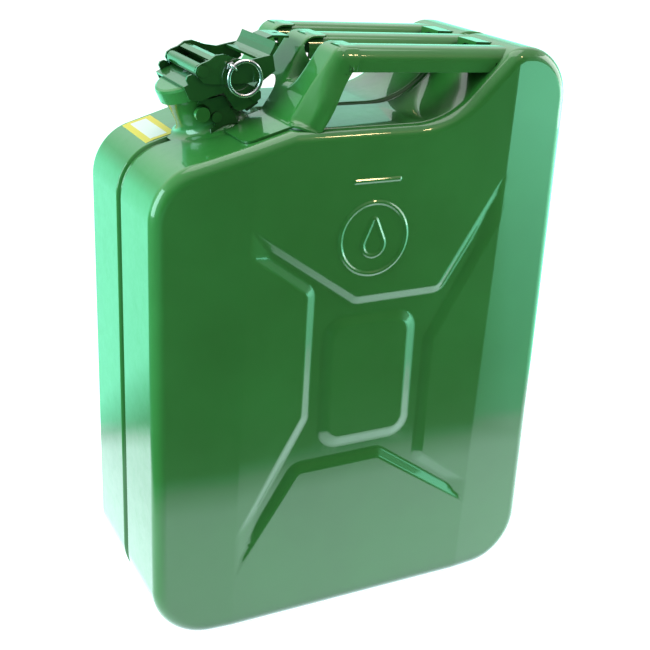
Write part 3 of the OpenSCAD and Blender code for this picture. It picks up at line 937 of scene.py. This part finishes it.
def metal(name, dark, light, rough):
    """Bare steel with cloudy colour and fine scratches."""
    mat, tree, bsdf = node_tree(name)
    colour = ramp_node(tree, noise_node(tree, 60, 5), [(0.3, dark), (0.75, light)])
    link(tree, colour, "Color", bsdf, "Base Color")
    r = ramp_node(tree, noise_node(tree, 200, 5), [(0.3, grey(rough)), (0.8, grey(rough + 0.18))])
    link(tree, r, "Color", bsdf, "Roughness")
    bsdf.inputs["Metallic"].default_value = 1.0
    bump_node(tree, noise_node(tree, 700, 3), bsdf, 0.15, 0.2)
    return mat


paint = painted("green_enamel", (0.030, 0.190, 0.030), (0.036, 0.235, 0.042))
# A darker copy of the green enamel for the closure's parts; its darkness is painted shade.
shaded = painted("closure_enamel_painted_shade", (0.015, 0.105, 0.016), (0.020, 0.135, 0.024))
steel = metal("plain_steel", (0.45, 0.45, 0.46), (0.62, 0.62, 0.62), 0.3)
bright = metal("bright_steel", (0.72, 0.72, 0.73), (0.85, 0.85, 0.85), 0.16)


def rubber_material():
    mat, tree, bsdf = node_tree("black_rubber")
    colour = ramp_node(tree, noise_node(tree, 120, 5), [(0.3, grey(0.012)), (0.8, grey(0.035))])
    link(tree, colour, "Color", bsdf, "Base Color")
    bsdf.inputs["Roughness"].default_value = 0.62
    bump_node(tree, noise_node(tree, 900, 3), bsdf, 0.3, 0.2)
    return mat


LABEL_BORDER = 5
LABEL_WHITE, LABEL_YELLOW = (0.86, 0.86, 0.82), (0.80, 0.62, 0.07)


def label_material():
    """White paper with a yellow border, following the label's box."""
    mat, tree, bsdf = node_tree("label_paper")
    lo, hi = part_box("info_label")
    split = object_place(tree)
    factors = []
    for axis, a, b in (("X", lo.x, hi.x), ("Y", lo.y, hi.y)):
        off = math_node(tree, "SUBTRACT", (split, axis), (a + b) / 2)
        size = math_node(tree, "ABSOLUTE", (off, 0))
        factors.append(math_node(tree, "GREATER_THAN", (size, 0), (b - a) / 2 - LABEL_BORDER * MM))
    mix = mix_node(tree, brightest(tree, factors), LABEL_WHITE, LABEL_YELLOW)
    link(tree, mix, "Result", bsdf, "Base Color")
    bsdf.inputs["Roughness"].default_value = 0.45
    bump_node(tree, noise_node(tree, 500, 4), bsdf, 0.2, 0.1)
    return mat


rubber = rubber_material()
paper = label_material()

# The closure's parts take the darker copy of the enamel, which carries painted shade.
NODE_LOOK = {
    "side_studs": ("green_paint", paint, 0.5),
    "hinge_bracket": ("green_paint", shaded, 0.5), "bracket_rivets": ("green_paint", shaded, 0.6),
    "hinge_pin": ("green_paint", shaded, 0.5), "cap_yoke": ("green_paint", shaded, 0.5),
    "cap": ("green_paint", paint, 0.3), "clamp_lever": ("green_paint", shaded, 0.5),
    "lever_pin": ("green_paint", shaded, 0.5), "handle_saddles": ("green_paint", paint, 0.8),
    "cap_rivet": ("plain_steel", steel, 0.2), "breather_tube": ("plain_steel", steel, 0),
    "locking_pin": ("bright_steel", bright, 0.2), "pin_ring": ("bright_steel", bright, 0),
    "cap_gasket": ("black_rubber", rubber, 0.3), "info_label": ("label_paper", paper, 0),
}


def dress(obj, mat):
    obj.data.materials.clear()
    obj.data.materials.append(mat)


for obj in (front, rear, weld, neck, comb):
    dress(obj, paint)
for obj in bpy.context.scene.objects:
    if obj.name.startswith("grip_"):
        dress(obj, paint)
for name, (slot, mat, width) in NODE_LOOK.items():
    obj = nodes[name]
    dress(obj, mat)
    obj.data.shade_smooth()
    if width:
        flat = obj.modifiers.new("flat", "DECIMATE")
        flat.decimate_type = "DISSOLVE"
        flat.angle_limit = math.radians(1)
        soften(obj, width, 28)
    else:
        obj.modifiers.new("smooth", "WEIGHTED_NORMAL")


# ---------- stage, light and camera ----------

FLOOR_GLOW = 2.6      # brightness of the floor's painted glow near the can, seen only in reflections
GLOW_NEAR = (0.76, 0.97, 1.0)
GLOW_FAR = (0.30, 1.0, 0.72)
WALL_GLOW = 0.45      # brightness of the room's far floor and walls in reflections


def floor_material():
    """Pale floor, overexposed to the camera; in reflections only, it glows with painted light,
    bright near the can and to its right, and dim in front and on the left."""
    mat, tree, bsdf = node_tree("studio_floor")
    colour = ramp_node(tree, noise_node(tree, 3, 3), [(0.3, grey(0.80)), (0.8, grey(0.84))])
    link(tree, colour, "Color", bsdf, "Base Color")
    bsdf.inputs["Roughness"].default_value = 0.8
    bsdf.inputs["Specular IOR Level"].default_value = 0.0
    out = tree.nodes["Material Output"]
    split = object_place(tree)
    beyond = []
    for axis, half in (("X", HALF_W), ("Y", -FACE_Y)):
        size = math_node(tree, "ABSOLUTE", (split, axis))
        over = math_node(tree, "SUBTRACT", (size, 0), half * MM)
        if axis == "X":
            reach = fade_node(tree, split, "X", 0.0, 0.01, 1.0, 0.6)
            over = math_node(tree, "MULTIPLY", (over, 0), (reach, 0))
        over = math_node(tree, "MAXIMUM", (over, 0), 0.0)
        beyond.append(math_node(tree, "POWER", (over, 0), 2.0))
    square = math_node(tree, "ADD", (beyond[0], 0), (beyond[1], 0))
    away = math_node(tree, "POWER", (square, 0), 0.5)
    near = fade_node(tree, away, 0, 0.260, 0.180, 0.0, FLOOR_GLOW)
    dim = fade_node(tree, split, "X", -0.24, -0.16, 0.7, 1.0)
    near = math_node(tree, "MULTIPLY", (near, 0), (dim, 0))
    skew = math_node(tree, "MULTIPLY_ADD", (split, "Y"), 0.95, (split, "X"))
    right = fade_node(tree, skew, 0, -0.03, 0.10)
    far = fade_node(tree, split, "X", 0.5, 1.6, 2.0, 5.0)
    side = math_node(tree, "MULTIPLY", (right, 0), (far, 0))
    rest = fade_node(tree, split, "Y", FACE_Y * MM, 0.2, 0.06, WALL_GLOW)
    left = fade_node(tree, split, "X", -0.30, -0.8, 0.0, WALL_GLOW)
    # painted glow for reflections: an emission that only glossy rays see
    seen = add_node(tree, "Emission")
    glow = mix_node(tree, fade_node(tree, near, 0, 0.3, 1.2), GLOW_FAR, GLOW_NEAR)
    link(tree, glow, "Result", seen, "Color")
    link(tree, brightest(tree, [near, side, rest, left]), 0, seen, "Strength")
    white = add_node(tree, "Emission", Strength=0.85)
    path = add_node(tree, "LightPath")
    reflected = add_node(tree, "MixShader")
    link(tree, path, "Is Glossy Ray", reflected, 0)
    link(tree, bsdf, "BSDF", reflected, 1)
    link(tree, seen, "Emission", reflected, 2)
    pale = add_node(tree, "AddShader")
    link(tree, bsdf, "BSDF", pale, 0)
    link(tree, white, "Emission", pale, 1)
    final = add_node(tree, "MixShader")
    link(tree, path, "Is Camera Ray", final, 0)
    link(tree, reflected, "Shader", final, 1)
    link(tree, pale, "Shader", final, 2)
    link(tree, final, "Shader", out, "Surface")
    return mat


def plane(name, centre, size, mat):
    x, y, z = centre
    hx, hy = size[0] / 2, size[1] / 2
    corners = [(x - hx, y - hy, z), (x + hx, y - hy, z), (x + hx, y + hy, z), (x - hx, y + hy, z)]
    obj = add_mesh(name, corners, [[0, 1, 2, 3]], smooth=False)
    obj.data.materials.append(mat)


def area_light(name, place, aim, size, power, colour=(1, 1, 1)):
    data = bpy.data.lights.new(name, "AREA")
    data.shape = "RECTANGLE"
    data.size, data.size_y = size
    data.energy = power
    data.color = colour
    obj = bpy.data.objects.new(name, data)
    obj.location = place
    obj.rotation_mode = "QUATERNION"
    obj.rotation_quaternion = (Vector(aim) - Vector(place)).to_track_quat("-Z", "Y")
    bpy.context.scene.collection.objects.link(obj)


def make_world():
    """White to the camera; reflections see bright sides, a bright room behind that is green
    near the horizon, a soft top and a dark front."""
    world = bpy.data.worlds.new("studio")
    world.use_nodes = True
    tree = world.node_tree
    back = tree.nodes["Background"]
    split = add_node(tree, "SeparateXYZ")
    link(tree, add_node(tree, "TexCoord"), "Generated", split, "Vector")
    side = math_node(tree, "ABSOLUTE", (split, "X"))
    sides = fade_node(tree, side, 0, 0.66, 0.9, 0.06, 1.1)
    top = fade_node(tree, split, "Z", 0.25, 0.8, 0.0, 0.75)
    behind = fade_node(tree, split, "Y", 0.0, 0.6)
    high = fade_node(tree, split, "Z", 0.05, 0.5, WALL_GLOW, 1.5)
    low = fade_node(tree, split, "Z", 0.0, 0.3, 2.0, WALL_GLOW)
    behind = math_node(tree, "MULTIPLY", (behind, 0), (brightest(tree, [low, high]), 0))
    room = brightest(tree, [sides, top, behind])
    path = add_node(tree, "LightPath")
    lit = add_node(tree, "Mix")
    link(tree, path, "Is Glossy Ray", lit, "Factor")
    lit.inputs["A"].default_value = 0.36
    link(tree, room, 0, lit, "B")
    seen = add_node(tree, "Mix")
    link(tree, path, "Is Camera Ray", seen, "Factor")
    link(tree, lit, 0, seen, "A")
    seen.inputs["B"].default_value = 1.0
    link(tree, seen, 0, back, "Strength")
    plain = math_node(tree, "SUBTRACT", 1.0, (path, "Is Glossy Ray"))
    untinted = brightest(tree, [plain, fade_node(tree, split, "Z", 0.05, 0.6)])
    link(tree, mix_node(tree, untinted, GLOW_FAR, grey(1)), "Result", back, "Color")
    bpy.context.scene.world = world


CAMERA_AT = (-0.41370, -0.81318, 0.60107)
CAMERA_TURN = (27.73, -21.99, 2.94)        # heading, pitch and roll in degrees


def make_camera():
    heading, pitch, roll = (math.radians(a) for a in CAMERA_TURN)
    look = Vector((math.sin(heading) * math.cos(pitch), math.cos(heading) * math.cos(pitch),
                   math.sin(pitch)))
    right = look.cross(Vector((0, 0, 1))).normalized()
    up = right.cross(look)
    right, up = (right * math.cos(roll) + up * math.sin(roll),
                 up * math.cos(roll) - right * math.sin(roll))
    data = bpy.data.cameras.new("camera")
    data.lens = 64.29
    data.sensor_width = 36
    data.shift_x, data.shift_y = -0.0136, -0.0129
    cam = bpy.data.objects.new("camera", data)
    turn = Matrix((right, up, -look)).transposed().to_4x4()
    cam.matrix_world = Matrix.Translation(CAMERA_AT) @ turn
    bpy.context.scene.collection.objects.link(cam)
    bpy.context.scene.camera = cam


plane("floor", (0, 0, 0), (12000, 12000), floor_material())
make_world()
area_light("left_softbox", (-1.6, 0.15, 0.75), (0, 0, 0.25), (0.9, 1.1), 25, (0.6, 1.0, 0.95))
area_light("right_softbox", (1.6, -0.3, 0.6), (0, -0.1, 0.25), (1.0, 1.1), 14)
area_light("top_softbox", (0.1, 0.1, 1.9), (0, 0, 0.2), (1.4, 1.2), 12)
area_light("warm_lamp", (0.86, -1.26, 1.62), (0, 0, 0.4), (0.14, 0.14), 3.5, (1.0, 0.72, 0.38))
make_camera()
bpy.context.scene.view_settings.view_transform = "Standard"
